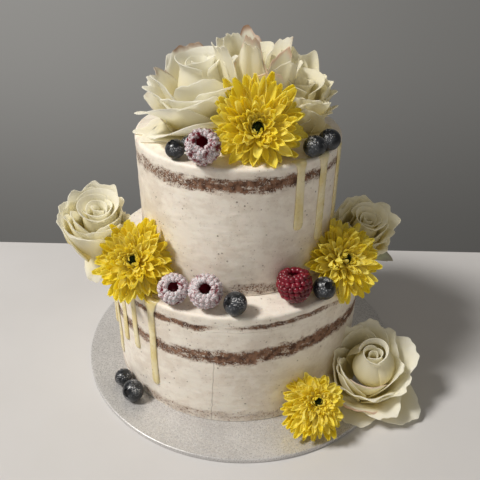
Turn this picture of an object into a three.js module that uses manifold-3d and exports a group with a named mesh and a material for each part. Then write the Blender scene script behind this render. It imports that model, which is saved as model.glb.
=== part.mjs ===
// A two-tier semi-naked wedding cake on a round silver card, dressed with white roses,
// yellow chrysanthemums, raspberries, blueberries and white chocolate drips.
// Millimetres, +Z up. The origin is the centre of the card's underside; the front faces -Y.
import * as THREE from "three";
import { mergeVertices } from "three/addons/utils/BufferGeometryUtils.js";
import Module from "manifold-3d";

const wasm = await Module();
wasm.setup();

// Driving dimensions
const clearance = 0.35; // between neighbouring pieces
const card = { radius: 139, thickness: 4, edge: 1 };
const lowerTier = { radius: 106, height: 104.6, centre: [-5.6, 1.6] };
const upperTier = { radius: 77.8, height: 100.7, centre: [-4.5, -1.4] };
const topRound = 2.5; // of a tier's top edge
const spongeInset = 0.5; // how far a bare sponge edge sits behind the icing
const dripThickness = 2.6;
const petalThickness = 1.5;
const overlap = 2.2; // how far one side of a petal stands out over its neighbour, and the other in
const roundSides = 48;

const ledgeZ = card.thickness + lowerTier.height;
const topZ = ledgeZ + upperTier.height;

// Layers from the bottom up; the last one takes what is left of the height.
const lowerLayers = [
  { name: "lower_icing_base", coat: "icing", thickness: 60.5 },
  { name: "lower_sponge_band", coat: "sponge", thickness: 12.5 },
  { name: "lower_icing_middle", coat: "icing", thickness: 18 },
  { name: "lower_sponge_thin", coat: "sponge", thickness: 6 },
  { name: "lower_icing_top", coat: "icing" },
];
const upperLayers = [
  { name: "upper_icing_base", coat: "icing", thickness: 82.7 },
  { name: "upper_sponge_band", coat: "sponge", thickness: 10 },
  { name: "upper_icing_top", coat: "icing" },
];

// Drips of white chocolate: angle round the tier in degrees, run down the wall, width of the
// run, width of the pool that feeds it.
const lowerDrips = [
  { angle: -174, run: 46, width: 6.5, pool: 10 },
  { angle: -164, run: 66, width: 8, pool: 11 },
  { angle: -155.5, run: 88, width: 7.5, pool: 10 },
  { angle: -146, run: 60, width: 7.5, pool: 10 },
  { angle: -137, run: 57, width: 6.5, pool: 11 },
  { angle: -126.5, run: 84, width: 7.4, pool: 15 },
];
const upperDrips = [
  { angle: -57.5, run: 51, width: 7.8, pool: 12 },
  { angle: -41, run: 68, width: 9.5, pool: 13.5 },
  { angle: -22, run: 72, width: 9.5, pool: 13 },
];

const berries = [
  { name: "top_blueberry_1", kind: "blueberry", radius: 6.8, at: [-46, -61.5], axis: [-0.3, -0.3, 0.9] },
  { name: "top_blueberry_2", kind: "blueberry", radius: 6.3, at: [-37, -52.5], axis: [0.4, -0.3, 0.6] },
  { name: "top_blueberry_3", kind: "blueberry", radius: 7.9, at: [45.8, -57.8], axis: [-0.2, 0.3, 0.9] },
  { name: "top_blueberry_4", kind: "blueberry", radius: 8, at: [57, -46.1], axis: [-0.25, -0.2, 0.9] },
  { name: "top_raspberry", kind: "raspberry", radius: 11.4, at: [-27, -71], axis: [-0.05, -0.62, 0.78] },
  { name: "ledge_raspberry_1", kind: "raspberry", radius: 11, at: [-50, -85.6], axis: [0.1, -0.66, 0.75] },
  { name: "ledge_raspberry_2", kind: "raspberry", radius: 12.2, at: [-26.6, -90], axis: [-0.05, -0.6, 0.8] },
  { name: "ledge_raspberry_3", kind: "raspberry", radius: 12.8, at: [36, -83.3], axis: [-0.1, 0.2, 0.97] },
  { name: "ledge_blueberry_1", kind: "blueberry", radius: 8.8, at: [-6, -98.2], axis: [-0.5, -0.4, 0.5] },
  { name: "ledge_blueberry_2", kind: "blueberry", radius: 8.6, at: [58, -79.5], axis: [0.2, -0.5, 0.6] },
  { name: "card_blueberry_1", kind: "blueberry", radius: 7.5, at: [-99.7, -63.7], axis: [-0.6, 0.5, 0.5] },
  { name: "card_blueberry_2", kind: "blueberry", radius: 9.1, at: [-88.8, -80.2], axis: [-0.5, -0.7, 0.4] },
];
const restHeights = { top: topZ, ledge: ledgeZ, card: card.thickness };

const chrysanthemums = [
  { name: "top_chrysanthemum", radius: 35, at: [8.5, -51, 230], axis: [0, -0.82, 0.57], seed: 11 },
  { name: "left_chrysanthemum", radius: 34, at: [-79, -62, 127.5], axis: [-0.12, -0.74, 0.66], seed: 23 },
  { name: "right_chrysanthemum", radius: 32.5, at: [74, -54, 123.5], axis: [0.3, -0.74, 0.6], seed: 37 },
  { name: "card_chrysanthemum", radius: 26.5, at: [53.5, -108, 25.5], axis: [-0.06, -0.74, 0.67], seed: 41 },
];
// Rings of florets from the outside in: their angle from the flower's axis in degrees, their
// length as a share of the flower's radius, and how high up the flower's heart they sit.
const floretRings = [
  { tilt: 98, reach: 1, sits: 0 },
  { tilt: 76, reach: 0.9, sits: 0.06 },
  { tilt: 48, reach: 0.66, sits: 0.12 },
];
const floretCount = 12; // in each ring

// Roses: cups of petals that close round the bud, from the outside in, and loose petals below
// them. In degrees and mm. facing: the way a petal faces, seen along the rose's axis, with -90 at
// the front. lean: angles from the axis at its base, middle and tip. cup: the radius it bends
// round. ruffle: how far its edge waves. pointed: how far the middle of the tip runs on. slant: how far
// one side of the tip stands above its middle. curl: how far the tip turns out. bud.aside: where the
// bud stands beside the axis.
const roses = [
  {
    name: "top_rose_left",
    at: [-29, -4, 219],
    axis: [-0.1, -0.12, 0.98],
    bud: { radius: 12, height: 42, aside: [0, 0] },
    loose: [
      { facing: -160, length: 47, half: 30, lean: [90, 76, 90], cup: 46, ruffle: 2.5 },
      { facing: -124, length: 49, half: 38, lean: [88, 60, 66], cup: 48, ruffle: 1.5, slant: 13 },
      { facing: -60, length: 40, half: 26, lean: [88, 60, 60], cup: 46, ruffle: 1.5 },
    ],
    cups: [
      [
        { facing: -140, length: 54, half: 34, lean: [84, 44, 58], cup: 36, ruffle: 2, slant: 11 },
        { facing: -98, length: 53, half: 30, lean: [84, 34, 36], cup: 34, ruffle: 1, slant: 9 },
        { facing: -22, length: 44, half: 28, lean: [84, 24, 30], cup: 32 },
        { facing: 75, length: 54, half: 32, lean: [84, 28, 34], cup: 34, ruffle: 1.5 },
        { facing: 152, length: 47, half: 32, lean: [84, 36, 52], cup: 35, ruffle: 2.5 },
      ],
      [
        { facing: -170, length: 51, half: 28, lean: [80, 14, 20], cup: 26, ruffle: 1.5 },
        { facing: -95, length: 52, half: 28, lean: [80, 14, 14], cup: 26, slant: 6 },
        { facing: 20, length: 50, half: 26, lean: [80, 14, 10], cup: 26 },
        { facing: 105, length: 57, half: 28, lean: [80, 14, 18], cup: 26 },
      ],
    ],
  },
  {
    name: "top_rose_middle",
    at: [7, 2, 219],
    axis: [0.04, -0.02, 1],
    bud: { radius: 10, height: 50, aside: [0, 0] },
    loose: [],
    cups: [
      [
        { facing: -140, length: 72, half: 15, lean: [80, 8, 8], cup: 19, slant: 4 },
        { facing: -84, length: 57, half: 23, lean: [82, 18, 12], cup: 25, pointed: 4, slant: 4 },
        { facing: 6, length: 55, half: 23, lean: [80, 16, 12], cup: 25 },
        { facing: 100, length: 67, half: 23, lean: [80, 16, 8], cup: 24, pointed: 10 },
        { facing: 165, length: 60, half: 24, lean: [80, 16, 14], cup: 24 },
      ],
      [
        { facing: -103, length: 76, half: 12, lean: [74, 5, 0], cup: 13.5 },
        { facing: -48, length: 63, half: 15, lean: [74, 5, 0], cup: 14.5, pointed: 4 },
        { facing: 40, length: 64, half: 19, lean: [74, 8, 8], cup: 16 },
        { facing: 130, length: 64, half: 19, lean: [74, 8, 6], cup: 16 },
      ],
    ],
  },
  {
    name: "top_rose_right",
    at: [36, -4, 217],
    axis: [0.14, -0.22, 0.96],
    bud: { radius: 10, height: 32, aside: [0, 0] },
    loose: [
      { facing: -50, length: 27, half: 24, lean: [88, 66, 60], cup: 32, ruffle: 2 },
    ],
    cups: [
      [
        { facing: -100, length: 42, half: 24, lean: [80, 20, 18], cup: 24, ruffle: 2 },
        { facing: -35, length: 34, half: 24, lean: [82, 28, 22], cup: 26, ruffle: 2.5 },
        { facing: 22, length: 43, half: 29, lean: [78, 8, -10], cup: 26, ruffle: 3 },
        { facing: 78, length: 54, half: 29, lean: [80, 14, 8], cup: 26, ruffle: 3, slant: 7 },
        { facing: 150, length: 52, half: 25, lean: [80, 16, 16], cup: 25, ruffle: 2 },
      ],
      [
        { facing: -85, length: 40, half: 20, lean: [74, 12, 10], cup: 18, ruffle: 1.5 },
        { facing: 25, length: 39, half: 22, lean: [74, 6, 0], cup: 19, ruffle: 2 },
        { facing: 140, length: 46, half: 21, lean: [74, 12, 12], cup: 18, ruffle: 1.5 },
      ],
    ],
  },
  {
    name: "left_rose",
    at: [-115, -26, 125],
    axis: [0.06, -0.32, 0.94],
    bud: { radius: 8.5, height: 34, aside: [3, 2] },
    loose: [
      { facing: -96, length: 27, half: 11, lean: [106, 124, 140], cup: 16 },
    ],
    cups: [
      [
        { facing: -178, length: 46, half: 29, lean: [78, 14, 8], cup: 24, curl: 60 },
        { facing: -104, length: 50, half: 29, lean: [80, 16, 2], cup: 24, curl: 90 },
        { facing: -20, length: 45, half: 26, lean: [80, 14, 12], cup: 22, ruffle: 1, curl: 60 },
        { facing: 80, length: 51, half: 31, lean: [80, 12, 8], cup: 24, ruffle: 1 },
      ],
      [
        { facing: -140, length: 42, half: 21, lean: [60, 3, 0], cup: 16 },
        { facing: -30, length: 43, half: 23, lean: [76, 6, 2], cup: 18 },
        { facing: 90, length: 43, half: 23, lean: [76, 6, 2], cup: 18 },
      ],
    ],
  },
  {
    name: "right_rose",
    at: [93, -12, 115],
    axis: [0.14, -0.38, 0.92],
    bud: { radius: 8.5, height: 30, aside: [1, 1] },
    loose: [],
    cups: [
      [
        { facing: -160, length: 38, half: 25, lean: [82, 14, 26], cup: 22 },
        { facing: -78, length: 37, half: 26, lean: [84, 16, 38], cup: 23 },
        { facing: 22, length: 43, half: 29, lean: [84, 14, 30], cup: 24, ruffle: 1.5, slant: 3 },
        { facing: 98, length: 43, half: 28, lean: [82, 12, 22], cup: 23 },
      ],
      [
        { facing: -140, length: 36, half: 20, lean: [74, 4, 2], cup: 15, curl: 10 },
        { facing: -20, length: 36, half: 20, lean: [74, 4, 2], cup: 15, curl: 10 },
        { facing: 100, length: 37, half: 20, lean: [74, 4, 2], cup: 15, curl: 10 },
      ],
    ],
  },
  {
    name: "card_rose",
    at: [99, -69, 16],
    axis: [-0.08, -0.34, 0.93],
    bud: { radius: 12.6, height: 40, aside: [6.4, 2] },
    loose: [
      { facing: -110, length: 43, half: 22, lean: [100, 98, 96], cup: 48 },
      { facing: -44, length: 45, half: 28, lean: [94, 76, 82], cup: 40 },
    ],
    cups: [
      [
        { facing: -130, length: 43, half: 30, lean: [90, 32, 32], cup: 29 },
        { facing: -70, length: 41, half: 25, lean: [88, 44, 62], cup: 29 },
        { facing: 10, length: 54, half: 30, lean: [86, 26, 38], cup: 28, slant: 5 },
        { facing: 70, length: 56, half: 25, lean: [80, 14, 16], cup: 26 },
        { facing: 160, length: 45, half: 20, lean: [80, 8, 4], cup: 22 },
      ],
      [
        { facing: -158, length: 45, half: 21, lean: [56, 8, 4], cup: 18 },
        { facing: -100, length: 41, half: 21, lean: [60, 8, 8], cup: 18 },
        { facing: -18, length: 44, half: 24, lean: [78, 16, 14], cup: 21 },
        { facing: 84, length: 47, half: 24, lean: [77, 12, 8], cup: 21 },
      ],
    ],
  },
];
const petalDrop = 3; // how far below the next one inwards each cup starts
const tipCurl = 38; // degrees by which a tip turns out unless its table says otherwise

// A green leaf of the calyx that shows under the right rose, in mm and degrees from the vertical.
const sepal = { facing: 0, length: 22, half: 6, lean: [100, 96, 124], cup: 12, at: [101, -16, 106.5] };

const finishes = {
  silver: { color: 0xb9b6b2, roughness: 0.35, metalness: 0.8 },
  icing: { color: 0xe9dfcf, roughness: 0.6, metalness: 0 },
  sponge: { color: 0x6f4632, roughness: 0.95, metalness: 0 },
  rose: { color: 0xefe9d2, roughness: 0.55, metalness: 0 },
  chrysanthemum: { color: 0xf2cf2c, roughness: 0.5, metalness: 0 },
  raspberry: { color: 0x8c1c2c, roughness: 0.45, metalness: 0 },
  blueberry: { color: 0x2b3040, roughness: 0.4, metalness: 0 },
  leaf: { color: 0x7d8a5c, roughness: 0.6, metalness: 0 },
};

// Geometry and solids
function indexed(positions, index) {
  const g = new THREE.BufferGeometry();
  g.setAttribute("position", new THREE.Float32BufferAttribute(positions, 3));
  g.setIndex(index);
  return g;
}

function solidOf(geometry) {
  const g = geometry.clone();
  g.deleteAttribute("normal");
  g.deleteAttribute("uv");
  const merged = mergeVertices(g, 1e-4);
  return new wasm.Manifold(
    new wasm.Mesh({
      numProp: 3,
      vertProperties: merged.attributes.position.array,
      triVerts: new Uint32Array(merged.index.array),
    }),
  );
}

function geometryOf(solid) {
  const { vertProperties, triVerts, numProp, numVert } = solid.getMesh();
  const positions = [];
  for (let i = 0; i < numVert; i++)
    positions.push(...vertProperties.subarray(i * numProp, i * numProp + 3));
  return indexed(positions, [...triVerts]);
}

const joined = (solids) => solids.reduce((all, one) => all.add(one));

// The largest body of a solid that cuts may have left in pieces.
const largestBody = (solid) =>
  solid.decompose().reduce((a, b) => (a.volume() > b.volume() ? a : b));

const moved = (solid, matrix) => solid.transform(matrix.elements);

// The matrix that carries the origin to a place and local +Z to an axis.
function pose(place, axis) {
  const turn = new THREE.Quaternion().setFromUnitVectors(
    new THREE.Vector3(0, 0, 1),
    new THREE.Vector3(...axis).normalize(),
  );
  const unscaled = new THREE.Vector3(1, 1, 1);
  return new THREE.Matrix4().compose(new THREE.Vector3(...place), turn, unscaled);
}

function turned(profile, segments) {
  const points = profile.map(([r, z]) => new THREE.Vector2(r, z));
  return new THREE.LatheGeometry(points, segments).rotateX(Math.PI / 2);
}

function seededDraws(seed) {
  let state = seed;
  return () => {
    state = (state * 1664525 + 1013904223) % 4294967296;
    return state / 4294967296;
  };
}

const mix = (a, b, t) => a + (b - a) * t;
const radians = THREE.MathUtils.degToRad;
const smooth = (t) => THREE.MathUtils.smoothstep(t, 0, 1);

// A sheet that is thickest in the middle and thins out to its edges, with both faces split into
// triangles alike. Each column is a function from v, 0 at the base to 1 at the tip, to a point and
// the sheet's normal there. A closed sheet joins its last column to its first.
function sheetSolid(columns, rows, thickness, closed) {
  const positions = [];
  const front = [];
  const back = [];
  columns.forEach((column, i) => {
    for (let j = 0; j <= rows; j++) {
      const { point, normal } = column(j / rows);
      const onSide = !closed && (i === 0 || i === columns.length - 1);
      const half = onSide || j === 0 || j === rows ? 0 : thickness / 2;
      front.push(positions.length / 3);
      positions.push(...point.clone().addScaledVector(normal, half).toArray());
      back.push(half ? positions.length / 3 : front.at(-1));
      if (half) positions.push(...point.clone().addScaledVector(normal, -half).toArray());
    }
  });
  const spans = closed ? columns.length : columns.length - 1;
  const index = [];
  for (let i = 0; i < spans; i++)
    for (let j = 0; j < rows; j++) {
      const a = i * (rows + 1) + j;
      const b = ((i + 1) % columns.length) * (rows + 1) + j;
      const corners = [a, b, b + 1, a + 1];
      if (i < spans / 2 !== j < rows / 2) corners.push(corners.shift());
      const [p, q, r, s] = corners;
      for (const [x, y, z] of [[p, q, r], [p, r, s]])
        index.push(front[x], front[y], front[z], back[x], back[z], back[y]);
    }
  return solidOf(indexed(positions, index));
}

// The column of a sheet at u, for a surface given as a function from u and v to a point.
const columnAt = (surface, u) => (v) => {
  const step = 1e-3;
  const along = surface(u, v + step).sub(surface(u, v - step));
  const across = surface(u + step, v).sub(surface(u - step, v));
  return { point: surface(u, v), normal: across.cross(along).normalize() };
};

function leafSolid(spans, rows, thickness, surface) {
  const columns = Array.from({ length: spans + 1 }, (_, i) => columnAt(surface, (2 * i) / spans - 1));
  return sheetSolid(columns, rows, thickness, false);
}

// The card and the tiers
function cardSolid(extra = 0) {
  const { radius, thickness, edge } = card;
  const r = radius + extra;
  const top = thickness + extra;
  const rim = [[r - edge / 2, 0], [r, top - edge], [r - edge, top]];
  return solidOf(turned([[0, 0], ...rim, [0, top]], roundSides));
}

function disc(tier, radius, z0, z1, round = 0) {
  const edge = round ? [[radius, z1 - round], [radius - round, z1]] : [[radius, z1]];
  const g = turned([[0, z0], [radius, z0], ...edge, [0, z1]], roundSides);
  return solidOf(g.translate(tier.centre[0], tier.centre[1], 0));
}

// One drip: a pool on the top edge that narrows to a run with a round bead at its end.
function dripSolid(tier, topOfTier, { angle, run, width, pool }) {
  const turn = radians(angle);
  const poolEnds = 0.2;
  const beadStarts = 0.88;
  const length = run + 2 * topRound;
  return leafSolid(2, 6, dripThickness, (u, row) => {
    const v = Math.max(0, row) ** 1.6;
    const down = v * length;
    const overEdge = smooth(down / (3 * topRound));
    const radius = tier.radius - 2 * topRound * (1 - overEdge);
    const z = topOfTier - Math.max(0, down - 2 * topRound) - 0.3 * overEdge;
    const neck = 0.8 * width;
    const full = v < poolEnds ? mix(pool, neck, smooth(v / poolEnds)) : mix(neck, width, v);
    const pastBead = Math.max(0, (v - beadStarts) / (1 - beadStarts));
    const roundEnd = Math.sqrt(Math.max(0.1, 1 - pastBead ** 2));
    const a = turn + (u * full * roundEnd) / 2 / radius;
    return new THREE.Vector3(
      tier.centre[0] + radius * Math.cos(a),
      tier.centre[1] + radius * Math.sin(a),
      z,
    );
  });
}

function tierSolids(tier, baseZ, layers, drips) {
  const top = baseZ + tier.height;
  const solids = [];
  let z = baseZ + clearance;
  layers.forEach((layer, n) => {
    const last = n === layers.length - 1;
    const z1 = last ? top : z + layer.thickness - clearance;
    const radius = tier.radius - (layer.coat === "sponge" ? spongeInset : 0);
    solids.push({ ...layer, z, solid: disc(tier, radius, z, z1, last ? topRound : 0) });
    z = z1 + clearance;
  });
  const icingTop = solids.at(-1);
  const wallBelow = disc(tier, tier.radius + clearance, baseZ - 1, icingTop.z);
  const runs = joined(drips.map((drip) => dripSolid(tier, top, drip)));
  icingTop.solid = largestBody(icingTop.solid.add(runs).subtract(wallBelow));
  return solids;
}

// Berries
function blueberrySolid(radius) {
  const squash = 0.9;
  const outline = [-90, -50, -10, 35].map((degrees) => [
    radius * Math.cos(radians(degrees)),
    radius * squash * Math.sin(radians(degrees)),
  ]);
  outline[0][0] = 0;
  const crown = [[0.36, 0.9], [0.24, 0.76], [0, 0.7]].map(([r, z]) => [r * radius, z * radius]);
  return solidOf(turned([...outline, ...crown], 10));
}

// A raspberry stands on its round tip, with its hollow open at the top. Shares of its radius,
// from the tip up and down into the hollow: distance from the axis, height, depth of the drupelets.
const raspberryOutline = [
  [0.45, -0.86, 0.07],
  [0.78, -0.55, 0.07],
  [0.94, -0.15, 0.07],
  [0.97, 0.25, 0.07],
  [0.84, 0.62, 0.07],
  [0.6, 0.76, 0.03],
  [0.42, 0.6, 0],
  [0.32, 0.1, 0],
];

function raspberrySolid(radius) {
  const around = 16;
  const rings = raspberryOutline.length;
  const positions = [];
  raspberryOutline.forEach(([share, height, bump], row) => {
    for (let i = 0; i < around; i++) {
      const a = ((i + (row % 2) / 2) / around) * 2 * Math.PI;
      const r = radius * (share + (i % 2 ? bump : -bump));
      positions.push(r * Math.cos(a), r * Math.sin(a), radius * height);
    }
  });
  const tip = rings * around;
  positions.push(0, 0, -radius * 0.97, 0, 0, -radius * 0.05);
  const index = [];
  for (let i = 0; i < around; i++) {
    const next = (i + 1) % around;
    for (let row = 0; row < rings - 1; row++) {
      const [a, b] = [row * around + i, row * around + next];
      index.push(a, b, b + around, a, b + around, a + around);
    }
    const lastRow = (rings - 1) * around;
    index.push(tip, next, i, tip + 1, lastRow + i, lastRow + next);
  }
  return solidOf(indexed(positions, index));
}

// A berry is lowered until it rests on the tier or the card.
function berrySolid({ name, kind, radius, at, axis }) {
  const local = kind === "raspberry" ? raspberrySolid(radius) : blueberrySolid(radius);
  const solid = moved(local, pose([...at, 0], axis));
  const restZ = restHeights[name.split("_")[0]];
  return solid.translate([0, 0, restZ + clearance - solid.boundingBox().min[2]]);
}

// The room that a berry takes, which flowers keep out of.
function berryRoom(berry) {
  const { min, max } = berrySolid(berry).boundingBox();
  const sides = 12;
  const round = 1 / Math.cos(Math.PI / sides) ** 2;
  const room = new THREE.SphereGeometry(round, sides, (2 * sides) / 3);
  room.scale(...min.map((low, k) => (max[k] - low) / 2 + clearance));
  room.translate(...min.map((low, k) => (max[k] + low) / 2));
  return solidOf(room);
}

// Chrysanthemums
// Rings of florets on a small round heart, as one closed surface. Each floret has a narrow root, a
// broad middle with a groove and a tip. All lengths are shares of the flower's radius.
function chrysanthemumSolid({ radius, seed }) {
  const draw = seededDraws(seed);
  const heart = 0.16;
  const rootAt = 0.28;
  const thickness = 0.05;
  const grooveAt = 0.66;
  const broadAt = 0.74;
  const pitch = (2 * Math.PI) / floretCount;
  const positions = [];
  const index = [];
  const put = (turn, r, z, aside = 0) => {
    positions.push(r * Math.cos(turn) - aside * Math.sin(turn));
    positions.push(r * Math.sin(turn) + aside * Math.cos(turn), z);
    return positions.length / 3 - 1;
  };
  const around = (shift, r, z) =>
    Array.from({ length: floretCount }, (_, i) => put((i + shift) * pitch, r, z));
  const next = (circle, i) => circle[(i + 1) % floretCount];
  // The band between two circles, seen from outside with the first one below.
  const band = (low, high) =>
    low.forEach((a, i) => index.push(a, next(low, i), high[i], next(low, i), next(high, i), high[i]));

  let inner = Array(floretCount).fill(put(0, 0, -heart));
  floretRings.forEach(({ tilt, reach, sits }, n) => {
    const shift = n / 2;
    const lean = radians(tilt);
    const rootR = rootAt * reach * Math.sin(lean);
    const rootZ = sits + rootAt * reach * Math.cos(lean);
    const low = around(shift, rootR, rootZ - thickness / 2);
    const high = around(shift, rootR, rootZ + thickness / 2);
    band(inner, low);
    low.forEach((leftLow, i) => {
      const rightLow = next(low, i);
      const leftHigh = high[i];
      const rightHigh = next(high, i);
      const turn = (i + 0.5 + shift + mix(-0.05, 0.05, draw())) * pitch;
      const length = reach * mix(0.88, 1.05, draw());
      const lift = mix(-0.06, 0.08, draw());
      const at = (share, rise, aside = 0) => {
        const angle = lean - lift - rise;
        const out = share * length;
        return put(turn, out * Math.sin(angle), sits + out * Math.cos(angle), aside);
      };
      const half = 0.5 * pitch * broadAt * length * Math.sin(lean) * mix(0.8, 0.95, draw());
      const left = at(broadAt, 0.08, -half);
      const tip = at(1, 0.16);
      const right = at(broadAt, 0.08, half);
      const groove = at(grooveAt, 0);
      const keel = at(grooveAt, -thickness / broadAt);
      index.push(left, leftHigh, leftLow, rightHigh, right, rightLow);
      const fan = (rim, middle) =>
        rim.forEach((a, k) => index.push(a, rim[(k + 1) % rim.length], middle));
      fan([leftHigh, left, tip, right, rightHigh], groove);
      fan([rightLow, right, tip, left, leftLow], keel);
    });
    const above = sits + heart * (0.4 + 0.35 * n);
    inner = around(shift + 0.25, heart * (1 - 0.2 * n), above);
    band(high, inner);
  });
  const crown = put(0, 0, floretRings.at(-1).sits + 1.4 * heart);
  inner.forEach((a, i) => index.push(a, next(inner, i), crown));
  return solidOf(indexed(positions.map((share) => share * radius), index));
}

// The room that a chrysanthemum takes, which roses keep out of.
function chrysanthemumRoom({ radius, at, axis }) {
  // Shares of its radius: distance from the axis, height.
  const outline = [[0, -0.32], [0.5, -0.28], [1.02, -0.22], [1.05, 0.1], [0.74, 0.56], [0, 0.66]];
  const sides = 16;
  const r = radius + clearance;
  const profile = outline.map(([out, height]) => [out * r, height * r]);
  return moved(solidOf(turned(profile, sides)), pose(at, axis));
}

// Roses
// The middle line of a petal starts near the axis and leans out and back in; its width follows
// an arc of the cup's radius.
function petalPoint(petal, u, v) {
  const { facing, length, half, lean, cup, start, rise } = petal;
  const { ruffle = 0, pointed = 0, slant = 0, curl = tipCurl } = petal;
  const roundTip = 0.3;
  const tipWidth = 0.25;
  const tipRun = (pointed / length) * Math.exp(-((u / tipWidth) ** 2));
  const reach = v * (1 - roundTip * Math.abs(u) ** 3 + tipRun);
  const steps = 12;
  const curlStarts = 0.8;
  const curlSpan = 0.25;
  let out = start;
  let height = rise;
  for (let k = 0; k < steps; k++) {
    const along = ((k + 0.5) / steps) * reach;
    const t = 2 * along;
    const straight =
      t < 1 ? mix(lean[0], lean[1], smooth(t)) : mix(lean[1], lean[2], smooth(t - 1));
    const angle = radians(straight + curl * smooth((along - curlStarts) / curlSpan) ** 2);
    out += ((length * reach) / steps) * Math.sin(angle);
    height += ((length * reach) / steps) * Math.cos(angle);
  }
  const rootWidth = 0.12;
  const broadest = 0.62;
  const widen = Math.sin((Math.PI / 2) * Math.min(1, v / broadest));
  const narrow = 1 - 0.2 * Math.max(0, (v - broadest) / (1 - broadest)) ** 2;
  const bend = (u * half * mix(rootWidth, 1, widen) * narrow) / cup;
  const wave = ruffle * v * v * Math.sin(2.6 * Math.PI * u + facing);
  const edge = cup + wave + overlap * u * Math.min(1, 2 * v);
  const p = new THREE.Vector3(
    out - cup + edge * Math.cos(bend),
    edge * Math.sin(bend),
    height + 0.5 * wave + slant * u * v,
  );
  return p.applyAxisAngle(new THREE.Vector3(0, 0, 1), radians(facing));
}

// The bud on its hip, with the rim of its innermost petal. Shares of its radius and height.
const budOutline = [
  [0.7, -0.05],
  [0.96, 0.15],
  [1, 0.5],
  [0.86, 0.84],
  [0.7, 0.96],
  [0.52, 0.84],
  [0.36, 0.96],
  [0, 0.88],
];

function budSolid({ radius, height, aside }, hipDepth) {
  const sides = 9;
  const hip = [[0, -hipDepth], [0.68 * radius, -hipDepth]];
  const outline = budOutline.map(([r, z]) => [r * radius, z * height]);
  return solidOf(turned([...hip, ...outline], sides)).translate([...aside, 0]);
}

function cupSolid(surfaces) {
  const spans = 4;
  const columns = surfaces.flatMap((surface) =>
    Array.from({ length: spans }, (_, i) => columnAt(surface, (2 * i + 1) / spans - 1)),
  );
  return sheetSolid(columns, 3, petalThickness, true);
}

// A rose in its place. Petals that come down to what the rose stands on lie flat on it, each a
// little higher than the one before it round the rose.
function roseSolid({ name, bud, loose, cups }, matrix) {
  const start = 0.55 * bud.radius;
  const lowest = (restHeights[name.split("_")[0]] ?? -Infinity) + clearance + petalThickness / 2;
  const stepRound = 0.5; // over a whole turn
  const stepInwards = 0.1; // from cup to cup
  const surfaceOf = (petal, level) => {
    const rooted = { ...petal, start, rise: -petalDrop * level };
    const floor = lowest + stepRound * (0.5 + petal.facing / 360) + stepInwards * level;
    return (u, v) => {
      const point = petalPoint(rooted, u, v).applyMatrix4(matrix);
      point.z = Math.max(point.z, floor);
      return point;
    };
  };
  const closed = cups.map((petals, n) =>
    cupSolid(petals.map((petal) => surfaceOf(petal, cups.length - n))),
  );
  const single = loose.map((petal, n) => {
    const level = cups.length + 0.5 * (loose.length - n);
    return leafSolid(4, 3, petalThickness, surfaceOf(petal, level));
  });
  const hipDepth = petalDrop * (cups.length + 0.5 * loose.length + 0.5);
  return joined([moved(budSolid(bud, hipDepth), matrix), ...closed, ...single]);
}

// The room on the far side of the plane halfway between two roses' cups.
function beyondNeighbour(rose, neighbour) {
  const cupShare = 0.7; // of the bud's height, where the middle of the cups is
  const middle = ({ at, axis, bud }) =>
    new THREE.Vector3(...axis).setLength(cupShare * bud.height).add(new THREE.Vector3(...at));
  const from = middle(rose);
  const to = middle(neighbour);
  const toward = to.clone().sub(from);
  const halfway = from.clone().lerp(to, 0.5).addScaledVector(toward.normalize(), -clearance / 2);
  const size = 2 * upperTier.radius;
  const room = new THREE.BoxGeometry(size, size, size).translate(0, 0, size / 2);
  return moved(solidOf(room), pose(halfway.toArray(), toward.toArray()));
}

// Assembly
const cake = new THREE.Group();

function addPiece(name, finish, solid, matrix = new THREE.Matrix4()) {
  const geometry = geometryOf(moved(solid, matrix.clone().invert()));
  const mesh = new THREE.Mesh(geometry, new THREE.MeshStandardMaterial(finishes[finish]));
  mesh.name = name;
  mesh.applyMatrix4(matrix);
  cake.add(mesh);
}

addPiece("silver_card", "silver", cardSolid());

for (const [tier, baseZ, layers, drips] of [
  [lowerTier, card.thickness, lowerLayers, lowerDrips],
  [upperTier, ledgeZ, upperLayers, upperDrips],
])
  for (const { name, coat, solid } of tierSolids(tier, baseZ, layers, drips))
    addPiece(name, coat, solid);

for (const berry of berries) addPiece(berry.name, berry.kind, berrySolid(berry));

// What the flowers keep out of, a little larger than the card, the tiers and the berries.
const margin = 2; // beside a drip
const wider = (drip) => ({ ...drip, width: drip.width + margin, pool: drip.pool + margin });
const ground = { radius: 180, thickness: 60 }; // the table
const supports = joined([
  cardSolid(clearance),
  disc({ centre: [0, 0] }, ground.radius, -ground.thickness, 0),
  disc(lowerTier, lowerTier.radius + clearance, 0, ledgeZ + clearance, topRound),
  disc(upperTier, upperTier.radius + clearance, ledgeZ - 1, topZ + clearance, topRound),
  ...upperDrips.map((drip) => dripSolid(upperTier, topZ + clearance, wider(drip))),
  ...lowerDrips.map((drip) => dripSolid(lowerTier, ledgeZ + clearance, wider(drip))),
  ...berries.map(berryRoom),
]);

for (const flower of chrysanthemums) {
  const matrix = pose(flower.at, flower.axis);
  const solid = moved(chrysanthemumSolid(flower), matrix).subtract(supports);
  addPiece(flower.name, "chrysanthemum", largestBody(solid), matrix);
}

const flowerRooms = joined([supports, ...chrysanthemums.map(chrysanthemumRoom)]);
const topRoses = roses.filter(({ name }) => name.startsWith("top"));
for (const rose of roses) {
  const matrix = pose(rose.at, rose.axis);
  let solid = roseSolid(rose, matrix).subtract(flowerRooms);
  if (topRoses.includes(rose))
    for (const neighbour of topRoses)
      if (neighbour !== rose) solid = solid.subtract(beyondNeighbour(rose, neighbour));
  addPiece(rose.name, "rose", largestBody(solid), matrix);
}

const leaf = leafSolid(4, 6, petalThickness, (u, v) =>
  petalPoint({ ...sepal, start: 0, rise: 0, slant: 3, pointed: 4 }, u, v),
);
addPiece("right_rose_sepal", "leaf", moved(leaf, pose(sepal.at, [0, 0, 1])).subtract(flowerRooms));

export default cake;
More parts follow.
